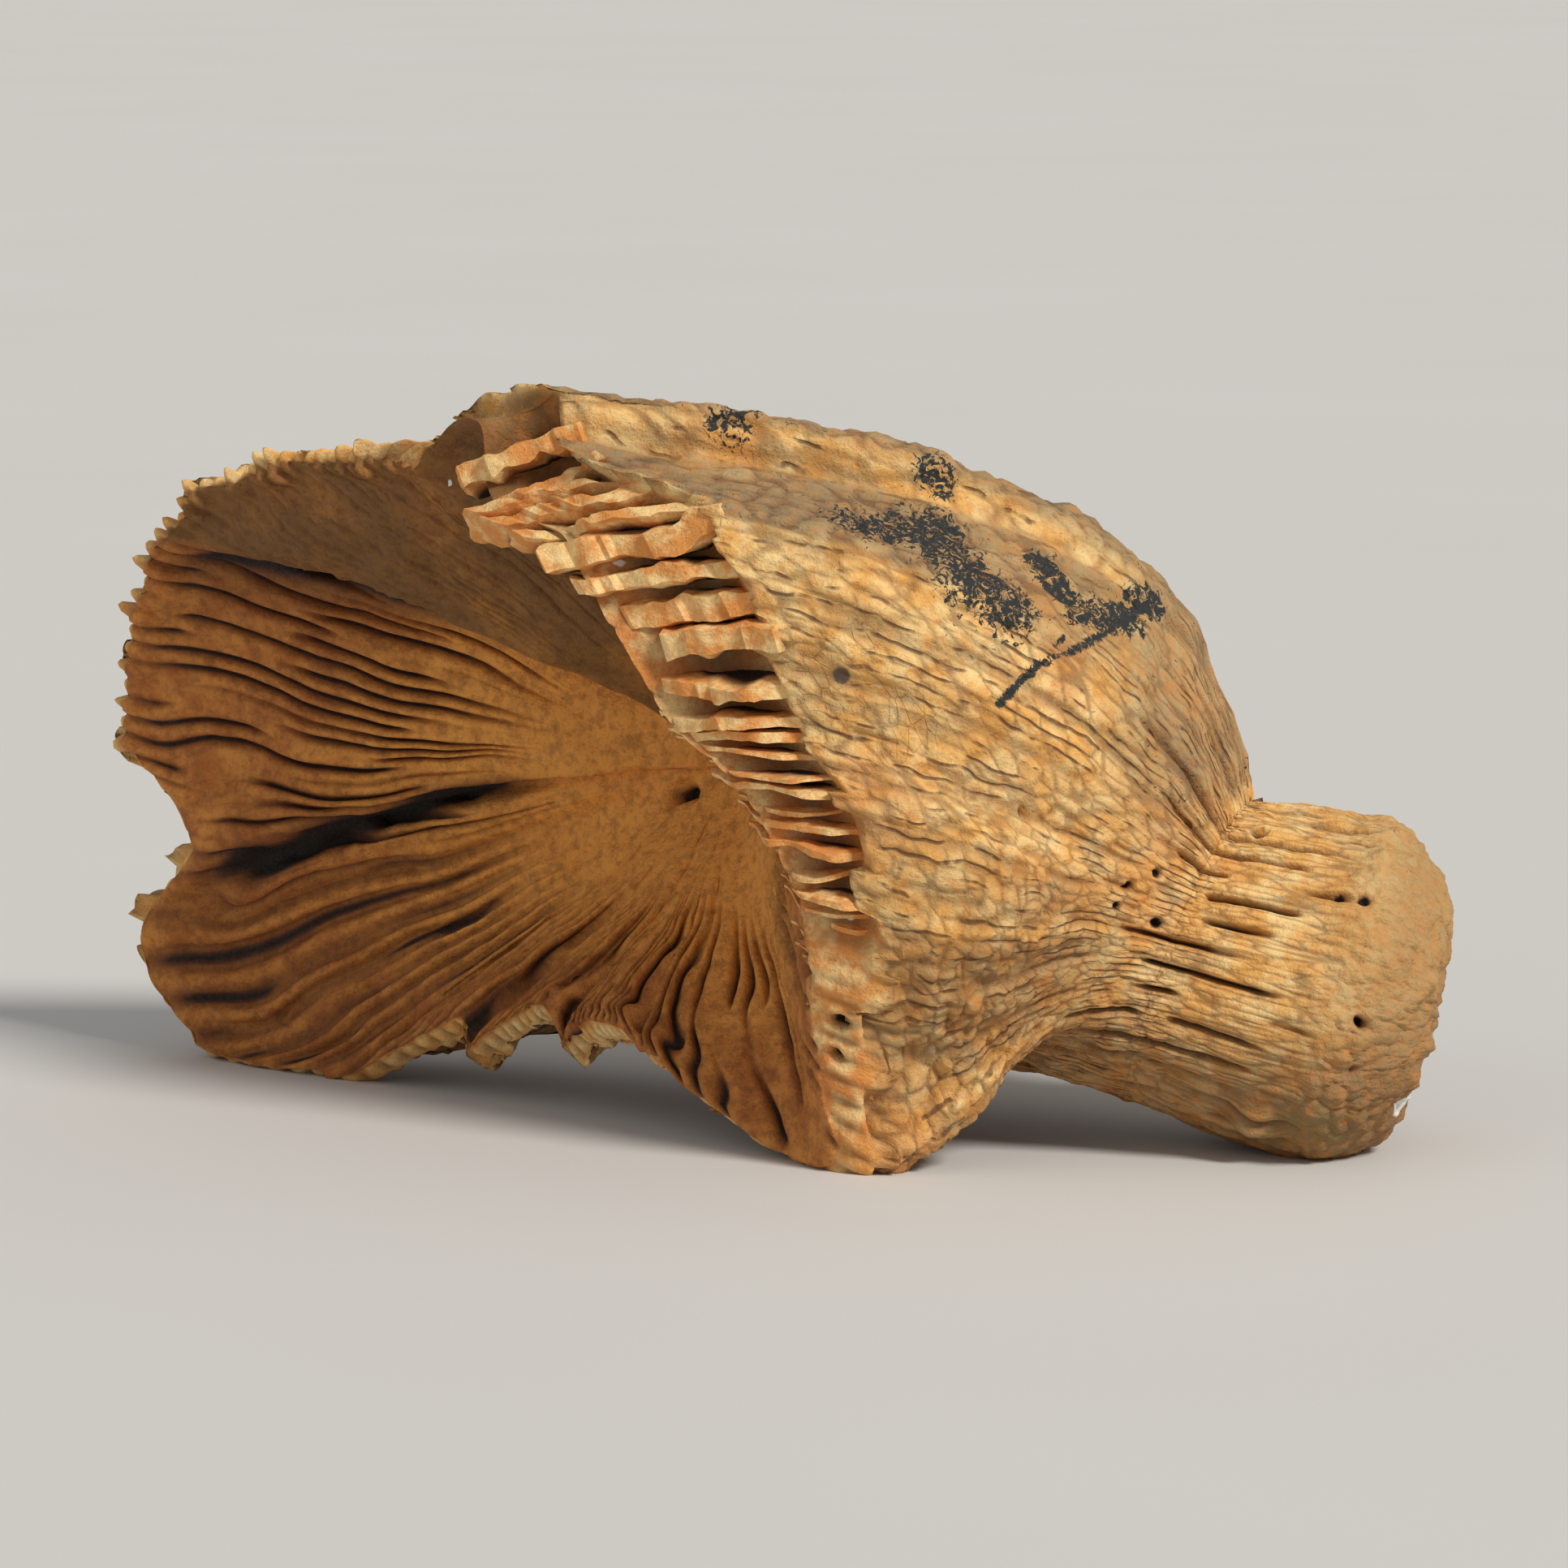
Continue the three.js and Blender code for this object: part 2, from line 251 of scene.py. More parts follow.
def cell_noise(points, size, seed):
    """Distance to the nearest cell's centre and to the next one, in cells, and the nearest cell's value."""
    place = points / size - 0.5
    cell = np.floor(place)
    nearest = np.full(len(points), 9.0)
    second = nearest.copy()
    value = nearest.copy()
    for corner in itertools.product((0, 1), repeat=3):
        there = cell + np.array(corner)
        word = scrambled(there, seed)
        shift = np.stack([((word >> np.uint64(8 * k)) & BYTE).astype(float) / 255 for k in range(3)], -1)
        gap = np.linalg.norm(place - there - 0.8 * (shift - 0.5), axis=-1)
        closer = gap < nearest
        second = np.where(closer, nearest, np.minimum(second, gap))
        value = np.where(closer, (word >> np.uint64(24)).astype(float) / 255, value)
        nearest = np.minimum(nearest, gap)
    return nearest, second, value


def strand_noise(strand, travel, size, seed):
    """Noise that runs along each strand by itself."""
    return lump_noise(np.stack([strand * 13.0, travel / size, strand * 0], -1), 1.0, seed)


# The plain skin: the solid's, with a fold and a crease that turn with depth

STALK_AXIS = unit(NECK - FOOT_END)
STALK_LENGTH = np.linalg.norm(NECK - FOOT_END)
MOUTH_AXIS = -np.array([
    math.cos(MOUTH_TURN) * math.cos(MOUTH_DIP),
    math.sin(MOUTH_TURN) * math.cos(MOUTH_DIP),
    math.sin(MOUTH_DIP),
])
NEAR = np.array([math.sin(MOUTH_TURN), -math.cos(MOUTH_TURN), 0.0])
TOP = np.cross(MOUTH_AXIS, NEAR)
STALK_NEAR = unit(NEAR - STALK_AXIS * (NEAR @ STALK_AXIS))
STALK_TOP = np.cross(STALK_AXIS, STALK_NEAR)
PIT = MOUTH_CENTRE - CUP_DEPTH * MOUTH_AXIS + PIT_SHIFT[0] * NEAR + PIT_SHIFT[1] * TOP
STALK_PROFILE = np.array([
    (0, 0),
    (FOOT_FACE, 0.62 * FOOT_RADIUS),
    (FOOT_SHOULDER, 0.97 * FOOT_RADIUS),
    (FOOT_LENGTH, FOOT_RADIUS),
    (0.85 * STALK_LENGTH, 1.02 * NECK_RADIUS),
    (STALK_LENGTH, NECK_RADIUS),
])


def around(near, top, clock):
    return np.cos(clock)[:, None] * near + np.sin(clock)[:, None] * top


def mouth_out(clock):
    return around(NEAR, TOP, clock)


def stalk_out(clock):
    return around(STALK_NEAR, STALK_TOP, clock)


def rim_value(clock, column):
    """A smooth curve through one column of the rim's table."""
    count = len(RIM)
    first = RIM[0, 0]
    degrees = (np.degrees(clock) - first) % 360 + first
    i = np.searchsorted(RIM[:, 0], degrees, side="right") - 1

    def at(k):
        return RIM[k % count, 0] + 360 * (k // count), RIM[k % count, column]

    (x0, y0), (x1, y1), (x2, y2), (x3, y3) = (at(i + k) for k in (-1, 0, 1, 2))
    width = x2 - x1
    t = (degrees - x1) / width
    rise_left = (y2 - y0) / (x2 - x0) * width
    rise_right = (y3 - y1) / (x3 - x1) * width
    return ((2 * t**3 - 3 * t**2 + 1) * y1 + (t**3 - 2 * t**2 + t) * rise_left
            + (3 * t**2 - 2 * t**3) * y2 + (t**3 - t**2) * rise_right)


def rim_reach(clock):
    """Reach of the rim with its hooked teeth and its ragged edge."""
    reach = rim_value(clock, 1)
    for tooth, length in TEETH:
        past = degrees_past(clock, tooth)
        reach += length * np.exp(-np.abs(past) / np.where(past < 0, TOOTH_FRONT, TOOTH_BACK))
    place = np.stack([np.cos(clock) * 12, np.sin(clock) * 12, clock * 0], -1)
    return reach + RAGGED_RIM * rough_noise(place, 1.6, 73, 2)


def fold_lift(clock, t):
    """How far the upper far lobe stands forward over the lower one."""
    past = degrees_past(clock, FOLD_CLOCK + FOLD_TURN * t)
    rise = smoothstep(past, -FOLD_RISE, 0)
    drop = 1 - smoothstep(past, 0, FOLD_DROP)
    return FOLD_DEPTH * np.where(past < 0, rise, drop)


def crease_past(clock, t):
    return degrees_past(clock, CREASE_CLOCK + CREASE_TURN * t)


def slit_share(clock, t):
    """1 in the slit under the fold, and 0 away from it."""
    return bump(degrees_past(clock, SLIT_CLOCK + FOLD_TURN * t), 0, SLIT_WIDTH)


def lining_lift(clock, t):
    """Thick lip with a sharp crease behind it, and the slit under the fold."""
    middle = smoothstep(t, 0.02, 0.2) * (1 - smoothstep(t, 0.6, 0.9))
    past = crease_past(clock, t)
    lip = LIP_RISE * smoothstep(past, -LIP_SPREAD, -12) * (1 - smoothstep(past, -4, 1))
    crease = CREASE_DEPTH * np.exp(-np.abs(past) / np.where(past < 0, 3, CREASE_WIDTH))
    slit = SLIT_DEPTH * slit_share(clock, t) * (1 - smoothstep(t, 0.5, 0.75))
    return middle * (lip - crease - slit)


def rim_out(clock):
    """Away from the mouth's centre, or squarely across the edge where the rim runs in."""
    step = 0.02
    slope = (rim_value(clock + step, 1) - rim_value(clock - step, 1)) / (2 * step)
    quarter = math.pi / 2
    square = mouth_out(clock) * rim_value(clock, 1)[:, None] - mouth_out(clock + quarter) * slope[:, None]
    return unit(mixed(mouth_out(clock), unit(square), swell(SQUARE, clock)[:, None]))


def forward(clock):
    """The way that the rim faces: along the stalk, or out of the mouth on the lower far side."""
    return mixed(STALK_AXIS, MOUTH_AXIS, swell(BACKWARD, clock)[:, None])


def rim_edge(clock):
    return (MOUTH_CENTRE + mouth_out(clock) * rim_reach(clock)[:, None]
            + MOUTH_AXIS * rim_value(clock, 2)[:, None])


def rim_crest(clock):
    width = swell(SHELF, clock)[:, None]
    return rim_edge(clock) + CREST_FORWARD * width * forward(clock) - CREST_INWARD * width * rim_out(clock)


def bezier(a, b, c, d, t):
    t = t[:, None]
    return (1 - t)**3 * a + 3 * (1 - t)**2 * t * b + 3 * (1 - t) * t**2 * c + t**3 * d


def stalk_point(clock, t):
    last = len(STALK_PROFILE) - 1
    i = np.clip(np.floor(t * last).astype(int), 0, last - 1)
    w = (t * last - i)[:, None]
    p0, p1, p2, p3 = (STALK_PROFILE[np.clip(i + k, 0, last)] for k in (-1, 0, 1, 2))
    v0 = (p2 - p0) / 2
    v1 = (p3 - p1) / 2
    place = (2 * p1 - 2 * p2 + v0 + v1) * w**3 + (3 * p2 - 3 * p1 - 2 * v0 - v1) * w**2 + v0 * w + p1
    reach = place[:, :1] * (1 - (swell(NECK_TILT, clock) * t**2)[:, None])
    return FOOT_END + reach * STALK_AXIS + place[:, 1:] * stalk_out(clock)


def wall_point(clock, t):
    start = stalk_point(clock, np.ones_like(clock))
    outward = stalk_out(clock) * swell(LAUNCH, clock)[:, None]
    leave = start + outward + STALK_AXIS * swell(DRIVE, clock)[:, None]
    end = rim_edge(clock)
    heading = unit(forward(clock) + mouth_out(clock) * swell(FLARE, clock)[:, None])
    arrive = end - heading * swell(ARRIVE, clock)[:, None]
    return bezier(start, leave, arrive, end, t)


def shelf_point(clock, t):
    return mixed(rim_edge(clock), rim_crest(clock), t[:, None])


def cup_point(clock, t):
    start = rim_crest(clock)
    leave = start - STALK_AXIS * swell(CUP_DIVE, clock)[:, None] - CUP_LEAN * rim_out(clock)
    settle = PIT + PIT_RADIUS * mouth_out(clock) + PIT_RISE * MOUTH_AXIS
    lift = 3 * t * (1 - t) * (fold_lift(clock, t) + swell(FLOOR_RISE, clock)) + lining_lift(clock, t)
    return bezier(start, leave, settle, PIT, t) + MOUTH_AXIS * lift[:, None]


SECTIONS = [stalk_point, wall_point, shelf_point, cup_point]


def skin_point(clock, along):
    points = np.zeros((len(clock), 3))
    section = np.clip(along.astype(int), 0, len(SECTIONS) - 1)
    for number, place in enumerate(SECTIONS):
        here = section == number
        points[here] = place(clock[here], along[here] - number)
    return points


def skin_normal(clock, along):
    """Direction out of the skin, from small steps around and along it."""
    turn, step = 0.004, 0.004
    low, high = np.clip(along - step, 0.002, 3.99), np.clip(along + step, 0.01, 3.998)
    sideways = skin_point(clock + turn, along) - skin_point(clock - turn, along)
    onward = skin_point(clock, high) - skin_point(clock, low)
    normal = unit(np.cross(sideways, onward))
    normal = np.where((along < 0.002)[:, None], -STALK_AXIS, normal)
    return np.where((along > 3.998)[:, None], MOUTH_AXIS, normal)


# Nets of rings

def rib_clocks(ribs, shown, many, few, crowd=0.0):
    """Clock angles of a ring's columns: many in each rib that shows, few in the others."""
    clocks = []
    for rib in range(ribs):
        centre = np.array([2 * math.pi * (rib + 0.5) / ribs])
        count = many if within(centre, *shown, 0.01)[0] > 0.5 else few
        share = np.arange(count) / count
        share += crowd * np.sin(2 * math.pi * share) / (2 * math.pi)
        clocks.append((rib + share) * 2 * math.pi / ribs)
    return np.concatenate(clocks)


OUTER_CLOCKS = rib_clocks(PLATES, NEAR_RIBS, NEAR_COLUMNS, FAR_COLUMNS)
LINING_CLOCKS = rib_clocks(PLATES, SHOWN_LINING, SHOWN_COLUMNS, HIDDEN_COLUMNS, GROOVE_CROWD)
RIM_CLOCKS = rib_clocks(PLATES, (0, 360), NEAR_COLUMNS, NEAR_COLUMNS)
PIT_CLOCKS = np.arange(PIT_COLUMNS) * 2 * math.pi / PIT_COLUMNS
POINT = np.zeros(1)


def rows_between(start, end, rows, clocks):
    return [(stop, clocks) for stop in np.linspace(start, end, rows + 1)[1:]]


def stitched(low, low_clocks, high, high_clocks):
    """Faces between two rings that start at the vertices low and high, in order of clock angle."""
    n, m = len(low_clocks), len(high_clocks)
    if low_clocks is high_clocks:
        i = np.arange(n)
        j = (i + 1) % n
        return np.stack([low + i, low + j, high + j, high + i], -1).tolist()
    if n == 1:
        return [[low, high + (j + 1) % m, high + j] for j in range(m)]
    if m == 1:
        return [[low + i, low + (i + 1) % n, high] for i in range(n)]
    low_ends = np.append(low_clocks, 2 * math.pi)
    high_ends = np.append(high_clocks, 2 * math.pi)
    faces = []
    i = j = 0
    while i < n or j < m:
        if j == m or (i < n and low_ends[i + 1] <= high_ends[j + 1]):
            faces.append([low + i, low + (i + 1) % n, high + j % m])
            i += 1
        else:
            faces.append([low + i % n, high + (j + 1) % m, high + j])
            j += 1
    return faces


def net_of(rings):
    """Clock and along values of every vertex of a stack of rings, and the faces between them."""
    faces = []
    start = 0
    for (_, low), (_, high) in zip(rings, rings[1:]):
        faces += stitched(start, low, start + len(low), high)
        start += len(low)
    clock = np.concatenate([clocks for _, clocks in rings])
    along = np.concatenate([np.full(len(clocks), stop) for stop, clocks in rings])
    return clock, along, faces


# Where things are in the photograph

def in_photo(points):
    """Pixel of each point, and how near it is to the viewer."""
    near = points @ VIEW_BACK
    scale = PIXELS_PER_MM * CAMERA_DISTANCE / (CAMERA_DISTANCE - near)
    column = FRAME_SIDE / 2 + (points @ VIEW_RIGHT) * scale
    row = FRAME_SIDE / 2 - (points @ VIEW_UP) * scale
    return np.stack([column, row], -1), near


class Photo:
    """Finds the place on the skin that the photograph shows at a pixel."""

    def __init__(self):
        grids = []
        for (columns, rows), ends in ((SEARCH_OUTER, (0.02, 2.98)), (SEARCH_LINING, (3, 3.97))):
            clocks = np.linspace(0, 2 * math.pi, columns, endpoint=False)
            grids.append(np.meshgrid(clocks, np.linspace(*ends, rows)))
        clock = np.concatenate([grid[0].ravel() for grid in grids])
        along = np.concatenate([grid[1].ravel() for grid in grids])
        self.points = skin_point(clock, along)
        self.pixels, self.near = in_photo(self.points)

    def point(self, pixel):
        gap = np.linalg.norm(self.pixels - np.array(pixel), axis=1)
        seen = np.where(gap < max(10, gap.min() + 1), self.near, -1e9)
        return self.points[seen.argmax()]


def spot(points, centre, radius):
    """1 at the centre, fading to 0 at the radius."""
    return 1 - smoothstep(np.linalg.norm(points - centre, axis=1), 0, radius)


def streak(points, stops, radius):
    """1 along a line of places, fading to 0 at the radius."""
    mark = np.zeros(len(points))
    for start, end in zip(stops, stops[1:]):
        step = end - start
        share = np.clip((points - start) @ step / (step @ step), 0, 1)
        gap = np.linalg.norm(points - start - share[:, None] * step, axis=1)
        mark = np.maximum(mark, 1 - smoothstep(gap, 0, radius))
    return mark


# Relief: heights above the plain skin, and how dark each place is from dirt and painted shade in its hollows

def groove(clock, count, width):
    """1 in the groove between two ribs and 0 on them; the width is a share of a rib."""
    place = clock / (2 * math.pi) * count
    away = 0.5 - np.abs(place - np.round(place))
    return np.exp(-(away / width)**2)


def between(clock, count):
    """Number of the groove that a point lies beside."""
    return np.floor(clock / (2 * math.pi) * count) % count


def opening(clock, count, travel, size, seed, low, high):
    """How open a groove is along its length."""
    return smoothstep(strand_noise(between(clock, count), travel, size, seed), low, high)


def domes(points, size, seed):
    near, second, value = cell_noise(points, size, seed)
    return np.sqrt(np.clip(second - near, 0, 1)) * (0.5 + 0.5 * value)


def pits(points, size, seed, share, radius):
    near, _, value = cell_noise(points, size, seed)
    return np.where(value < share, np.exp(-(near * size / radius)**2), 0)


def rib_count(clock):
    """Ribs passed since the seam on the underside."""
    return degrees_past(clock, SEAM_CLOCK + 180) / 360 * PLATES


def flakes(clock, travel, length, seed):
    """Long worn flakes that lie along the ribs: their height, and how near a place is to a gap."""
    across = rib_count(clock) * 0.8
    near, second, value = cell_noise(np.stack([across, travel / length, across * 0], -1), 1.0, seed)
    edge = np.clip(second - near, 0, 1)
    return np.sqrt(edge) * (0.4 + 0.6 * value), 1 - smoothstep(edge, 0.02, 0.16)


def outside_relief(clock, along, travel, points, top):
    foot = 1 - smoothstep(along, 0.44, 0.6)
    stalk = (1 - foot) * (1 - smoothstep(along, 1.02, 1.28))
    wall = smoothstep(along, 1.02, 1.28)
    side = (1 - foot) * (1 - top)
    slots = groove(clock, STALK_RIBS, 0.11) * opening(clock, STALK_RIBS, travel, 3.6, 11, -0.55, 0.1)
    slots *= 1 - foot
    halves = groove(clock, SEPTA, 0.15) * opening(clock, SEPTA, travel, 2.6, 12, -0.1, 0.5)
    halves *= smoothstep(along, 0.95, 1.25) + 0.5 * stalk
    quarters = groove(clock, PLATES, 0.2) * opening(clock, PLATES, travel, 2.0, 13, 0.0, 0.5)
    quarters *= smoothstep(along, 1.35, 1.6)
    lines = np.maximum(np.maximum(slots, 0.8 * halves), 0.6 * quarters)
    flake, gap = flakes(clock, travel, 2.2, 24)
    under = smoothstep(-points[:, 2], 4, 9) * smoothstep(along, 1.3, 1.7)
    warped = points + 0.22 * np.stack([lump_noise(points, 0.8, seed) for seed in (34, 35, 36)], -1)
    holes = pits(warped, 1.7, 31, mixed(0.05, 0.3, foot), mixed(0.17, 0.2, foot))
    cobble = top * wall
    near, second, value = cell_noise(warped, 1.5, 23)
    dome = np.sqrt(np.clip(second - near, 0, 1)) * (0.5 + 0.5 * value)
    crevice = 1 - smoothstep(second - near, 0.03, 0.16)
    height = -(0.75 * stalk + 0.2 * wall) * slots - 0.16 * halves - 0.14 * quarters
    height += (0.16 + 0.3 * under) * side * (flake - 0.5)
    height += (0.08 + 0.34 * foot) * domes(warped, 0.95, 21) + 0.45 * cobble * dome
    height += (0.05 + 0.14 * foot) * domes(points, 0.55, 22) - 0.45 * holes
    height += 0.26 * rough_noise(points, 4.5, 41) * smoothstep(along, 0.0, 0.15)
    height += (0.09 + 0.2 * under) * rough_noise(points, 1.2, 43, 3)
    # Darkened: the grooves between ribs, holes, gaps between flakes and crevices between cobbles, as dirt and
    # painted shade
    dark = np.maximum(mixed(1.0, 0.55, wall) * lines * mixed(1.0, 0.4, top), holes)
    dark = np.maximum(dark, np.maximum(0.55 * gap * side, 0.6 * crevice * cobble))
    return height - 0.12, dark


def bead_height(clock):
    """Knobs on the upper far rim, where the septa end."""
    ridge = 1 - groove(clock, PLATES, 0.24)
    size = strand_chance(between(clock + math.pi / PLATES, PLATES), 51)
    return (0.1 + 0.9 * size**2) * ridge * within(clock, *BEAD_CLOCKS, 8)


def shelf_relief(clock, t, points):
    width = swell(SHELF, clock)
    broad = smoothstep(width, 1.5, 2.6)
    flute = bump(degrees_past(clock, FLUTE_CLOCK), 0, 12)
    hump = np.sin(math.pi * np.clip(t, 0, 1))
    ridge = 1 - groove(clock, PLATES, 0.22)
    beaded = bead_height(clock) * hump**0.5 + 0.2 * ridge * hump - 0.15
    hollow = within(clock, *HOLLOW_CLOCKS, 8)
    recessed = -(0.55 + 0.2 * width) * np.sin(math.pi * np.clip(t, 0, 1)**0.6) * hollow
    height = mixed(beaded, mixed(recessed, -0.8 * hump, flute), broad) + 0.1 * rough_noise(points, 1.2, 44, 2)
    # Darkened between the beads as dirt and painted shade, and painted shade in the hollow shelf between the
    # plates
    return height, mixed(0.6 * (1 - ridge) * hump, 0.8 * hump * hollow * (1 - flute), broad)


def cup_relief(clock, t, travel, points):
    lower = within(clock, *LOWER_LOBE, 10)
    lip = smoothstep(-crease_past(clock, t), 0, 6) * within(clock, *LIP_CLOCKS, 8)
    fade = (1 - smoothstep(t, 0.5, 0.72)) * (1 - 0.8 * lip)
    start = mixed(0.3, 1.0, smoothstep(t, 0.02, 0.24))
    gate = opening(clock, PLATES, travel, 4.6, 14, -0.55, 0.15)
    slots = groove(clock, PLATES, 0.1 + 0.1 * gate) * gate
    wide = 0.5 + 0.5 * opening(clock, SEPTA, travel, 4.2, 15, -0.6, 0.2)
    folds = groove(clock, SEPTA, 0.24) * wide * lower
    beads = bead_height(clock) * (1 - smoothstep(t, 0.0, 0.09))
    height = -(0.55 * slots * mixed(1.0, 0.6, lower) + 0.6 * folds) * start * fade + 0.8 * beads
    height += 0.2 * rough_noise(points, 3.5, 45) * smoothstep(t, 0.0, 0.2)
    height += 0.06 * rough_noise(points, 0.9, 46, 2)
    granular = lip * smoothstep(t, 0.02, 0.1) * (1 - smoothstep(t, 0.4, 0.6))
    height += 0.25 * granular * (domes(points, 0.9, 47) - 0.4)
    slit = slit_share(clock, t) * smoothstep(t, 0.03, 0.14) * (1 - smoothstep(t, 0.5, 0.75))
    past = crease_past(clock, t)
    crease = np.exp(-np.abs(past) / np.where(past < 0, 1.0, 5.0)) * smoothstep(t, 0.02, 0.1)
    crease *= 1 - smoothstep(t, 0.4, 0.65)
    lines = np.maximum(slots * mixed(1.0, 0.5, lower), folds) * fade * mixed(0.5, 1.0, smoothstep(t, 0, 0.1))
    # Darkened: painted shadow in the slit under the fold and in the crease under the lip, and dirt and
    # painted shade in the grooves
    return height, np.maximum(1.15 * lines, np.maximum(1.5 * slit, 1.3 * crease))


def sway(clock, along):
    """Waviness of the septa and ribs, as a small turn of each column."""
    t = np.clip(along - 3, 0, 1)
    travel = np.interp(along, range(5), TRAVEL)
    place = np.stack([np.cos(clock) * 4, np.sin(clock) * 4, travel / 4.0], -1)
    septa = smoothstep(t, 0.02, 0.2) * (1 - smoothstep(t, 0.65, 1))
    ribs = (along < 2) * smoothstep(2 - along, 0, 0.2)
    amount = 2.0 * septa + 0.5 * ribs
    return np.radians(amount) * rough_noise(place, 1.0, 61, 2)


def wall_teeth(clock, along):
    """How far the outer edge's broken rib ends stand forward."""
    rib = between(clock + math.pi / PLATES, PLATES)
    clump = lump_noise(np.stack([np.cos(clock) * 9, np.sin(clock) * 9, clock * 0], -1), 1.0, 72)
    ledge = 1.3 * bump(degrees_past(clock, LEDGE_CLOCK), 0, 5)
    return (1.1 * (strand_chance(rib, 71) - 0.5) + 0.7 * clump + ledge) * bump(along, 2, 0.05)


# Places in the photograph, as pixels, with sizes in millimetres
HOLES = [
    ((838, 980), 0.6, 1.4), ((1400, 1100), 0.4, 0.6), ((1430, 1070), 0.35, 0.5), ((1550, 1015), 0.5, 0.8),
    ((1685, 1272), 0.5, 0.8), ((1678, 1100), 0.35, 0.5), ((1650, 1092), 0.35, 0.5),
    ((1436, 1132), 0.35, 0.5), ((1380, 1125), 0.3, 0.4), ((1262, 1325), 0.35, 0.5),
    ((1025, 1268), 0.5, 0.9), ((1020, 1300), 0.5, 0.9),
]
KNOBS = [
    ((1755, 1295), 0.9, 0.5), ((1540, 1390), 1.6, 0.7), ((1610, 1192), 0.6, 0.4), ((1760, 1205), 1.0, 0.4),
]
STAINS = [
    ([(1060, 640), (1130, 650), (1190, 690), (1250, 740)], 2.8), ([(1150, 650), (1200, 710)], 3.2),
    ([(905, 520), (935, 545)], 1.8), ([(1290, 690), (1330, 740), (1390, 755)], 1.6),
    ([(1140, 575), (1160, 590)], 1.2), ([(1400, 735), (1430, 735)], 1.4),
]
CRACKS = [
    ([(1240, 868), (1290, 820), (1340, 790), (1405, 742), (1432, 735)], 0.55),
    ([(1290, 820), (1312, 775)], 0.4), ([(1375, 765), (1385, 740)], 0.4),
]
CHIPS = [((700, 692), 0.8), ((552, 603), 0.3), ((1730, 1365), 1.2), ((745, 705), 0.35), ((1030, 1145), 0.5)]
MOSS = [((1620, 1405), 3.0), ((1560, 1410), 1.6)]
INCLUSIONS = [((1030, 838), 0.55)]

photo = Photo()


def spots(points, places):
    return np.max([spot(points, photo.point(pixel), radius) for pixel, radius in places], axis=0)


def streaks(points, lines):
    marks = [streak(points, [photo.point(pixel) for pixel in line], radius) for line, radius in lines]
    return np.max(marks, axis=0)


def skin_form(rings, cap=None):
    """Points, faces and colour marks of a stack of rings; cap is the vertex that closes the neck."""
    clock, along, faces = net_of(rings)
    turned = clock + sway(clock, along)
    base = skin_point(turned, along)
    normals = skin_normal(turned, along)
    travel = np.interp(along, range(5), TRAVEL)
    top = smoothstep(normals[:, 2], 0.25, 0.85) * smoothstep(along, 1.0, 1.3)
    outside, outside_dark = outside_relief(clock, along, travel, base, top)
    shelf, shelf_dark = shelf_relief(clock, along - 2, base)
    cup, cup_dark = cup_relief(clock, np.clip(along - 3, 0, 1), travel, base)
    to_shelf = smoothstep(along, 1.99, 2.12)
    to_cup = smoothstep(along, 2.94, 3.04)
    height = mixed(mixed(outside, shelf, to_shelf), cup, to_cup)
    dark = mixed(mixed(outside_dark, shelf_dark, to_shelf), cup_dark, to_cup)
    ragged = 1 + 0.6 * lump_noise(base, 0.45, 37)
    for pixel, radius, depth in HOLES:
        hole = spot(base, photo.point(pixel), radius * ragged)
        height -= depth * hole
        # Painted shade in each hole
        dark = np.maximum(dark, 1.3 * smoothstep(hole, 0.1, 0.7))
    for pixel, radius, rise in KNOBS:
        height += rise * spot(base, photo.point(pixel), radius)
    points = base + normals * height[:, None] + STALK_AXIS * wall_teeth(clock, along)[:, None]
    points[:, 2] = np.maximum(points[:, 2], GROUND)
    if cap is not None:
        points[cap] = NECK
    depth = np.clip(along - 3, 0, 1)
    # Where the lining is painted olive with painted shade: the lip's underside before the crease, and the
    # flute
    flute = within(clock, *FLUTE_SHADE, 5) * smoothstep(along, 2.02, 2.2)
    lip = within(clock, *LIP_SHADE, 8) * smoothstep(-crease_past(clock, depth), 0, 5) * (along > 2.9)
    flaky = smoothstep(along, 1.97, 2.1) * (1 - smoothstep(along, 2.9, 3.15))
    dome = np.maximum(top, smoothstep(base[:, 0], 12, 16) * smoothstep(base[:, 2], -3, 2))
    marks = {
        # groove: dirt and painted shade in the hollows, with painted shadow in the crease and the slit
        "groove": np.clip(dark, 0, 1.4),
        "cup": smoothstep(along, 2.7, 3.05),
        # olive: olive tone with painted shade on the lip's underside and in the flute
        "olive": np.maximum(lip, flute),
        "flakes": within(clock, *FLAKE_CLOCKS, 8) * flaky,
        # depth: painted light, the cup's lining painted paler towards its middle
        "depth": smoothstep(depth, 0.3, 0.62),
        # under: painted shade on the outside where the skin faces down
        "under": smoothstep(-normals[:, 2], -0.05, 0.55) * (along < 2),
        "foot": 1 - smoothstep(along, 0.3, 0.75),
        "grey": dome * (along > 1.02) * (along < 2),
        "lines": smoothstep(along, 0.6, 1.0) * (1 - smoothstep(along, 1.97, 2.03)) * (1 - 0.7 * top),
        "bricks": bump(degrees_past(clock, BRICK_CLOCK), 0, 26) * smoothstep(along, 1.55, 1.8),
        "across": rib_count(clock),
        "travel": travel,
        "stain": streaks(base, STAINS),
        "crack": streaks(base, CRACKS),
        "chip": spots(base, CHIPS),
        "moss": spots(base, MOSS),
        "inclusion": spots(base, INCLUSIONS),
    }
    return points, faces, marks


def foot_form():
    rings = [(0.0, POINT)] + rows_between(0.0, 1.0, STALK_ROWS, OUTER_CLOCKS) + [(1.0, POINT)]
    return skin_form(rings, cap=-1)


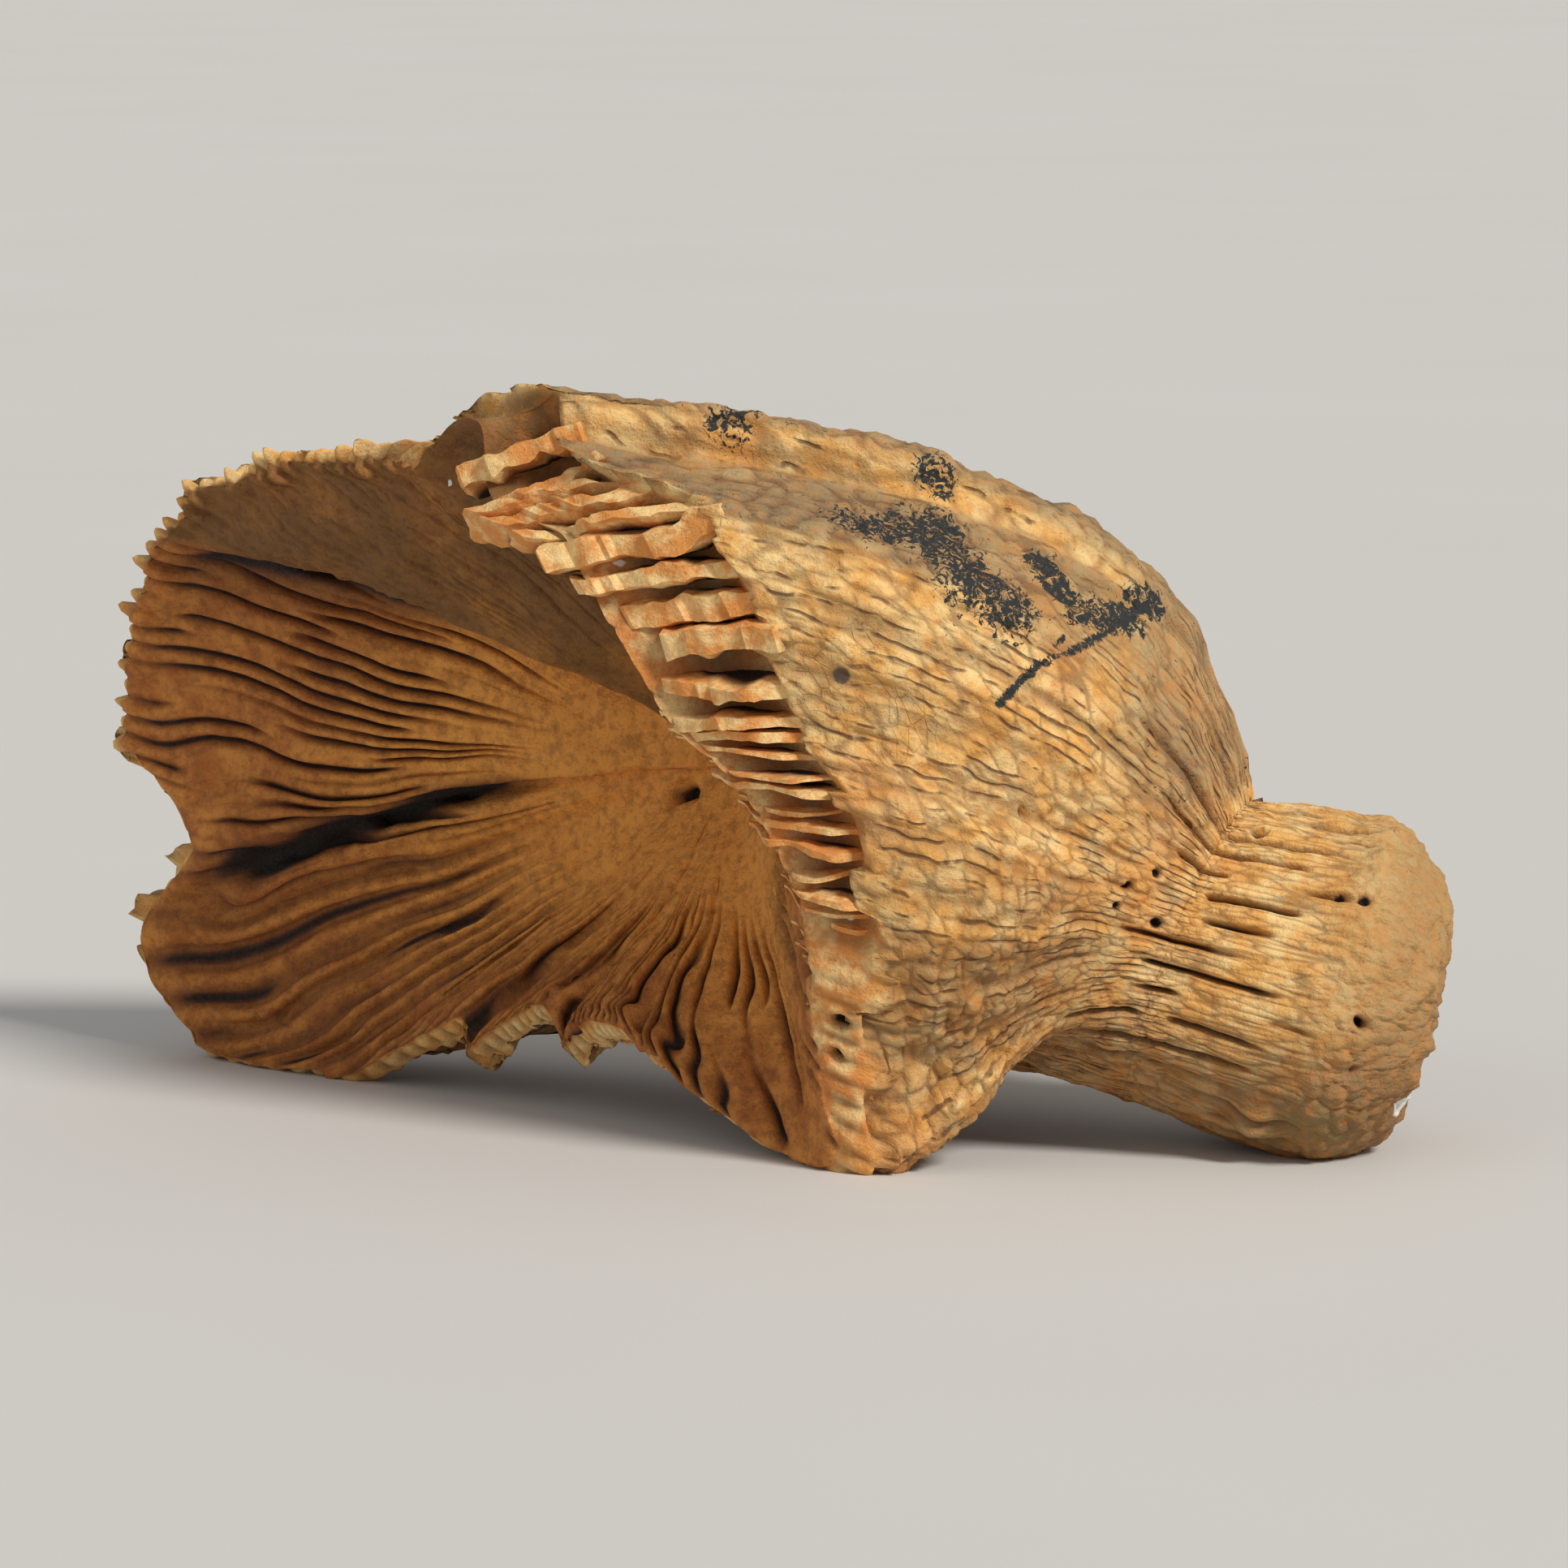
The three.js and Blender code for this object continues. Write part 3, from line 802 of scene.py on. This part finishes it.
def wall_form():
    rings = [(1.0, POINT), (1.0, OUTER_CLOCKS)] + rows_between(1.0, EDGE_START, WALL_ROWS, OUTER_CLOCKS)
    rings += rows_between(EDGE_START, 2.0, EDGE_ROWS, RIM_CLOCKS)
    return skin_form(rings + rows_between(2.0, 3.0, SHELF_ROWS, RIM_CLOCKS), cap=0)


def lining_form():
    rings = [(3.0, RIM_CLOCKS)] + rows_between(3.0, PIT_START, CUP_ROWS, LINING_CLOCKS)
    return skin_form(rings + rows_between(PIT_START, 3.97, PIT_ROWS, PIT_CLOCKS) + [(4.0, POINT)])


# Plates of the broken rim shelf

def plate_form(number, clock):
    """One upright plate across the shelf: a closed slab with a ragged free edge."""
    at = np.array([clock])
    edge, crest = rim_edge(at)[0], rim_crest(at)[0]
    width = swell(SHELF, at)[0]
    chunky = smoothstep(degrees_past(at, 0), 10, 26)[0]
    aside = unit(rim_edge(at + 0.02)[0] - rim_edge(at - 0.02)[0])
    rise = unit(np.cross(aside, unit(crest - edge)))
    luck = strand_chance(number + np.arange(6) * 1000.0, 81)
    reach = smoothstep(degrees_past(at, 0), 31, 40)[0]
    tip = mixed(mixed(1.1, 1.45, luck[1]), mixed(0.85, 1.0, luck[1]), chunky) + 0.45 * reach
    low = 1 - smoothstep(degrees_past(at, 0), -14, -6)[0]
    s = np.linspace(-0.06, tip, PLATE_STEPS)
    place = np.stack([np.full(PLATE_STEPS, number * 7.3), s * width, s * 0], -1)
    ragged = rough_noise(place, 1.3, 82, 3)
    lean = mixed(0.2, 0.4, chunky) * lump_noise(place, 2.4, 83)
    steps = np.floor(2.5 * lump_noise(place, 1.8, 86) + 0.5) / 2.5
    free = mixed(-0.35, 0.4, luck[0]) + mixed(0.3 * ragged, 0.22 * ragged + 0.6 * steps, chunky)
    free -= low * mixed(0.1, 1.2, luck[4])
    free -= mixed(0.9, 0.3, chunky) * (1 - smoothstep(s, 0.08, 0.36))
    free -= (0.9 * (luck[3] < 0.2)) * (1 - smoothstep(s, 0.3, 0.6)) * (1 - chunky)
    free *= min(width / 3.2, 1)
    root = -(0.55 + 0.2 * width) - 0.6 + 1.1 * reach * smoothstep(s, 0.9, tip)
    end = smoothstep(s, tip - mixed(0.45, 0.12, chunky), tip)
    free = np.maximum(mixed(free, root + 0.3, end), root + 0.25)
    thick = mixed(mixed(0.1, 0.19, luck[2]), mixed(0.45, 0.75, luck[2]), chunky) * (1 - 0.6 * end)
    points, dark = [], []
    for side in (1, -1):
        for level in np.linspace(0, 1, PLATE_LEVELS):
            up = mixed(root, free, level)
            spread = place + np.array([side * 5.0, 0, level * 1.1])
            crumble = mixed(0.09, 0.22, chunky) * rough_noise(spread, 0.8, 84, 3)
            half = np.maximum(thick * mixed(1.0, 0.75, level**3) + crumble, 0.05)
            row = edge + np.outer(s, crest - edge) + np.outer(up, rise)
            points.append(row + np.outer(lean * (0.4 + level) + side * half, aside))
            # Painted shade, darker towards the plate's root
            dark.append(1.2 * (1 - smoothstep(up - free, -1.3, -0.5)))
    return np.concatenate(points), np.concatenate(dark)


def plate_faces(start):
    """Faces of one slab: its two sides, its free edge and its root, and its two ends."""
    steps, levels = PLATE_STEPS, PLATE_LEVELS
    rows = list(range(levels)) + list(range(2 * levels - 1, levels - 1, -1))
    faces = []
    for low, high in zip(rows, rows[1:] + rows[:1]):
        for i in range(steps - 1):
            a, b = start + low * steps + i, start + high * steps + i
            faces.append([a, a + 1, b + 1, b])
    first = [start + row * steps for row in rows]
    last = [start + row * steps + steps - 1 for row in reversed(rows)]
    return faces + [first, last]


def plates_form():
    points, faces, dark = [], [], []
    start = 0
    first, last = (round(clock / 360 * PLATES) for clock in PLATE_CLOCKS)
    thin_end = round(CHUNKY_CLOCK / 360 * PLATES)
    for number in [*range(first, thin_end), *range(thin_end, last + 1, 2)]:
        nudge = 0.3 * (strand_chance(np.array([number + 7000.0]), 85)[0] - 0.5)
        plate, shade = plate_form(number, 2 * math.pi * (number + nudge) / PLATES)
        points.append(plate)
        dark.append(shade)
        faces += plate_faces(start)
        start += len(plate)
    points = np.concatenate(points)
    points[:, 2] = np.maximum(points[:, 2], GROUND)
    zero = np.zeros(len(points))
    unmarked = ("cup", "olive", "grey", "lines", "bricks", "across", "travel", "stain", "crack", "moss",
                "inclusion", "depth", "under", "foot")
    marks = {name: zero for name in unmarked}
    # The plates' painted shade towards their roots
    marks["groove"] = np.concatenate(dark)
    marks["flakes"] = zero + 1
    marks["chip"] = spots(points, CHIPS)
    return points, faces, marks


# Meshes

def make_piece(name, points, faces, marks, material, sharp=math.pi):
    mesh = bpy.data.meshes.new(name)
    mesh.from_pydata(((points - ORIGIN) * MM).tolist(), [], faces)
    for mark, values in marks.items():
        layer = mesh.attributes.new(mark, "FLOAT", "POINT")
        layer.data.foreach_set("value", values.astype(np.float32))
    mesh.materials.append(material)
    mesh.shade_smooth()
    mesh.set_sharp_from_angle(angle=sharp)
    mesh.update()
    piece = bpy.data.objects.new(name, mesh)
    bpy.context.collection.objects.link(piece)
    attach(piece, "root")
    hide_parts("horn_coral")


# Material

def srgb(red, green, blue):
    def linear(value):
        value /= 255
        return value / 12.92 if value <= 0.04045 else ((value + 0.055) / 1.055)**2.4
    return (linear(red), linear(green), linear(blue), 1.0)


OCHRE = srgb(236, 176, 92)
CREAM = srgb(248, 213, 146)
RUST = srgb(208, 130, 58)
GREY_BEIGE = srgb(150, 127, 90)
FOOT_BUFF = srgb(168, 134, 86)
# The cup's brown, darker as painted shade on its walls, and its paler ochre, lighter as painted light towards
# its middle
CUP_BROWN_AND_SHADE = srgb(178, 104, 40)
CUP_PALE_AND_LIT_OCHRE = srgb(238, 162, 72)
# Olive of the lip and flute, darkened as painted shade
LIP_OLIVE_AND_SHADE = srgb(122, 86, 40)
ORANGE = srgb(222, 142, 68)
# A dark brown for dirt that also paints shade on undersides and in hollows, and the darkest painted shade
DIRT_AND_SHADE = srgb(84, 42, 16)
DEEP_SHADE = srgb(28, 15, 7)
BLACK_STAIN = srgb(40, 42, 40)
WHITE_CHIP = srgb(232, 230, 226)
OLIVE = srgb(112, 102, 58)
GREY_STONE = srgb(98, 78, 62)


class Shader:
    """Short names for the nodes that a material is made of."""

    def __init__(self, material):
        material.use_nodes = True
        self.tree = material.node_tree
        self.bsdf = self.tree.nodes["Principled BSDF"]
        self.place = self.add("ShaderNodeTexCoord").outputs["Object"]

    def add(self, kind, **settings):
        node = self.tree.nodes.new(kind)
        for name, value in settings.items():
            setattr(node, name, value)
        return node

    def link(self, value, socket):
        if isinstance(value, bpy.types.NodeSocket):
            self.tree.links.new(value, socket)
        else:
            socket.default_value = value

    def mark(self, name):
        return self.add("ShaderNodeAttribute", attribute_name=name).outputs["Fac"]

    def noise(self, size, detail, rough=0.55, distort=0.0):
        node = self.add("ShaderNodeTexNoise")
        self.link(self.place, node.inputs["Vector"])
        node.inputs["Scale"].default_value = 1 / (size * MM)
        node.inputs["Detail"].default_value = detail
        node.inputs["Roughness"].default_value = rough
        node.inputs["Distortion"].default_value = distort
        return node.outputs["Fac"]

    def cell_edges(self, size, place):
        node = self.add("ShaderNodeTexVoronoi", feature="DISTANCE_TO_EDGE", voronoi_dimensions="2D")
        self.link(place, node.inputs["Vector"])
        node.inputs["Scale"].default_value = 1 / (size * MM)
        return node.outputs["Distance"]

    def math(self, operation, a, b=0.0, clamp=True):
        node = self.add("ShaderNodeMath", operation=operation, use_clamp=clamp)
        self.link(a, node.inputs[0])
        self.link(b, node.inputs[1])
        return node.outputs[0]

    def times(self, a, b):
        return self.math("MULTIPLY", a, b)

    def span(self, value, low, high, start=0.0, end=1.0):
        node = self.add("ShaderNodeMapRange", interpolation_type="SMOOTHSTEP")
        self.link(value, node.inputs["Value"])
        for name, number in zip(("From Min", "From Max", "To Min", "To Max"), (low, high, start, end)):
            node.inputs[name].default_value = number
        return node.outputs["Result"]

    def mix(self, share, low, high):
        node = self.add("ShaderNodeMix", data_type="RGBA")
        self.link(share, node.inputs["Factor"])
        self.link(low, next(s for s in node.inputs if s.name == "A" and s.type == "RGBA"))
        self.link(high, next(s for s in node.inputs if s.name == "B" and s.type == "RGBA"))
        return next(s for s in node.outputs if s.type == "RGBA")

    def bump(self, height, strength, depth):
        node = self.add("ShaderNodeBump")
        node.inputs["Strength"].default_value = strength
        node.inputs["Distance"].default_value = depth * MM
        self.link(height, node.inputs["Height"])
        return node.outputs["Normal"]


def rib_lines(s):
    """Fine lines along the ribs, and the short cross cracks between them."""
    wobble = s.math("MULTIPLY", s.math("SUBTRACT", s.noise(2.4, 2.0), 0.5, False), 1.6, False)
    across = s.math("ADD", s.mark("across"), wobble, False)
    place = s.add("ShaderNodeCombineXYZ")
    s.link(s.math("MULTIPLY", across, 0.8 * MM, False), place.inputs["X"])
    s.link(s.math("MULTIPLY", s.mark("travel"), 1.0 * MM, False), place.inputs["Y"])
    fraction = s.math("FRACT", across)
    middle = s.math("ABSOLUTE", s.math("SUBTRACT", fraction, 0.5, False), 0.0, False)
    line = s.times(s.span(middle, 0.14, 0.03), s.span(s.noise(1.6, 3.0), 0.46, 0.6))
    brick = s.span(s.cell_edges(0.8, place.outputs[0]), 0.06, 0.0)
    brick = s.times(brick, s.span(s.noise(3.4, 2.0), 0.5, 0.66, 0.0, 0.5))
    brick = s.times(brick, s.mark("bricks"))
    return s.times(s.math("MAXIMUM", line, brick), s.mark("lines"))


def stone_material():
    material = bpy.data.materials.new("fossil_stone")
    s = Shader(material)
    mottle = s.noise(1.5, 4.0, 0.65)
    broad = s.noise(5.0, 3.0, 0.6)
    fine = s.noise(0.5, 4.0, 0.7)
    grain = s.noise(0.16, 3.0, 0.7)
    lines = rib_lines(s)
    colour = s.mix(s.span(mottle, 0.36, 0.66), OCHRE, CREAM)
    colour = s.mix(s.span(broad, 0.5, 0.7, 0.0, 0.5), colour, RUST)
    colour = s.mix(s.times(s.mark("grey"), s.span(broad, 0.7, 0.35, 0.55, 1.0)), colour, GREY_BEIGE)
    colour = s.mix(s.times(s.mark("foot"), 0.85), colour, FOOT_BUFF)
    # Painted shade: darker where the outside faces down
    colour = s.mix(s.times(s.mark("under"), 0.55), colour, DIRT_AND_SHADE)
    # The cup's lining: its brown tone with random paler mottling, painted lighter towards the middle as
    # painted light and darker on the walls as painted shade
    pale = s.math("ADD", s.span(mottle, 0.34, 0.66, 0.0, 0.5), s.times(s.mark("depth"), 0.8))
    colour = s.mix(s.mark("cup"), colour, s.mix(pale, CUP_BROWN_AND_SHADE, CUP_PALE_AND_LIT_OCHRE))
    # Olive tone with painted shade on the lip's underside and in the flute
    colour = s.mix(s.times(s.mark("olive"), s.span(broad, 0.3, 0.6, 0.55, 0.95)), colour, LIP_OLIVE_AND_SHADE)
    colour = s.mix(s.times(s.mark("flakes"), 0.8), colour, s.mix(s.span(mottle, 0.42, 0.62), ORANGE, CREAM))
    colour = s.mix(s.span(fine, 0.42, 0.66, 0.0, 0.4), colour, s.mix(s.mark("cup"), RUST, DIRT_AND_SHADE))
    colour = s.mix(s.span(grain, 0.58, 0.72, 0.0, 0.4), colour, DIRT_AND_SHADE)
    colour = s.mix(s.times(lines, 0.75), colour, DIRT_AND_SHADE)
    # Dirt and painted shade in the hollows, with the darkest painted shade in the crease, the slit, the holes
    # and the plates' roots
    soil_and_shade = s.mark("groove")
    colour = s.mix(s.times(soil_and_shade, s.span(mottle, 0.25, 0.6, 0.75, 1.0)), colour, DIRT_AND_SHADE)
    colour = s.mix(s.span(soil_and_shade, 0.7, 1.2), colour, DEEP_SHADE)
    specks = s.noise(0.42, 5.0, 0.72, 1.4)
    stain = s.math("ADD", s.mark("stain"), s.span(s.mark("grey"), 0.2, 1.0, 0.0, 0.12), False)
    threshold = s.math("SUBTRACT", specks, s.span(stain, 0.0, 1.0, 0.64, 0.43), False)
    colour = s.mix(s.times(s.span(threshold, 0.0, 0.025), s.span(stain, 0.02, 0.1)), colour, BLACK_STAIN)
    jag = s.math("MULTIPLY", s.math("SUBTRACT", specks, 0.5, False), 1.6, False)
    broken = s.math("ADD", s.mark("crack"), jag, False)
    colour = s.mix(s.times(s.span(broken, 0.6, 0.8), s.span(s.mark("crack"), 0.0, 0.2)), colour, BLACK_STAIN)
    colour = s.mix(s.times(s.mark("moss"), s.span(mottle, 0.4, 0.6, 0.2, 0.8)), colour, OLIVE)
    colour = s.mix(s.span(s.mark("inclusion"), 0.2, 0.5), colour, GREY_STONE)
    colour = s.mix(s.span(s.mark("chip"), 0.4, 0.6), colour, WHITE_CHIP)
    s.link(colour, s.bsdf.inputs["Base Color"])
    s.link(s.span(grain, 0.25, 0.75, 0.95, 0.62), s.bsdf.inputs["Roughness"])
    rough = s.math("MULTIPLY", grain, 0.35, False)
    rough = s.math("ADD", rough, s.math("MULTIPLY", fine, -0.8, False), False)
    rough = s.math("SUBTRACT", rough, s.math("MULTIPLY", lines, 0.5, False), False)
    s.link(s.bump(rough, 0.9, 0.2), s.bsdf.inputs["Normal"])
    return material


# Floor, lights and camera

def floor():
    material = bpy.data.materials.new("pale_floor")
    s = Shader(material)
    s.link(s.mix(s.noise(60.0, 2.0), srgb(216, 213, 207), srgb(221, 219, 214)), s.bsdf.inputs["Base Color"])
    s.bsdf.inputs["Roughness"].default_value = 0.8
    half = FLOOR_HALF
    corners = [(-half, -half, 0), (half, -half, 0), (half, half, 0), (-half, half, 0)]
    mesh = bpy.data.meshes.new("floor")
    mesh.from_pydata(corners, [], [(0, 1, 2, 3)])
    mesh.materials.append(material)
    ground = bpy.data.objects.new("floor", mesh)
    bpy.context.collection.objects.link(ground)


def add_sun(name, place, power, colour, angle):
    light = bpy.data.lights.new(name, "SUN")
    light.energy = power
    light.color = colour
    light.angle = angle
    lamp = bpy.data.objects.new(name, light)
    lamp.location = place
    lamp.rotation_euler = (LIGHT_TARGET - Vector(place)).to_track_quat("-Z", "Y").to_euler()
    bpy.context.collection.objects.link(lamp)


def lights():
    add_sun("key", KEY_PLACE, KEY_POWER, (1.0, 0.97, 0.93), KEY_ANGLE)
    add_sun("fill", FILL_PLACE, FILL_POWER, (0.96, 0.98, 1.0), FILL_ANGLE)
    world = bpy.data.worlds.new("soft_room")
    world.use_nodes = True
    background = world.node_tree.nodes["Background"]
    background.inputs["Color"].default_value = (0.95, 0.97, 1.0, 1.0)
    background.inputs["Strength"].default_value = ROOM_LIGHT
    bpy.context.scene.world = world


def camera():
    data = bpy.data.cameras.new("camera")
    data.sensor_width = SENSOR_WIDTH
    data.lens = data.sensor_width * CAMERA_DISTANCE * PIXELS_PER_MM / FRAME_SIDE
    eye = bpy.data.objects.new("camera", data)
    eye.location = Vector((VIEW_BACK * CAMERA_DISTANCE - ORIGIN) * MM)
    eye.rotation_mode = "QUATERNION"
    eye.rotation_quaternion = Vector(-VIEW_BACK).to_track_quat("-Z", "Y")
    bpy.context.collection.objects.link(eye)
    bpy.context.scene.camera = eye


stone = stone_material()
make_piece("foot_and_stalk", *foot_form(), stone)
make_piece("outer_wall", *wall_form(), stone)
make_piece("cup_lining", *lining_form(), stone)
make_piece("rim_plates", *plates_form(), stone, sharp=PLATE_EDGE)
floor()
lights()
camera()
bpy.context.scene.view_settings.view_transform = "Standard"
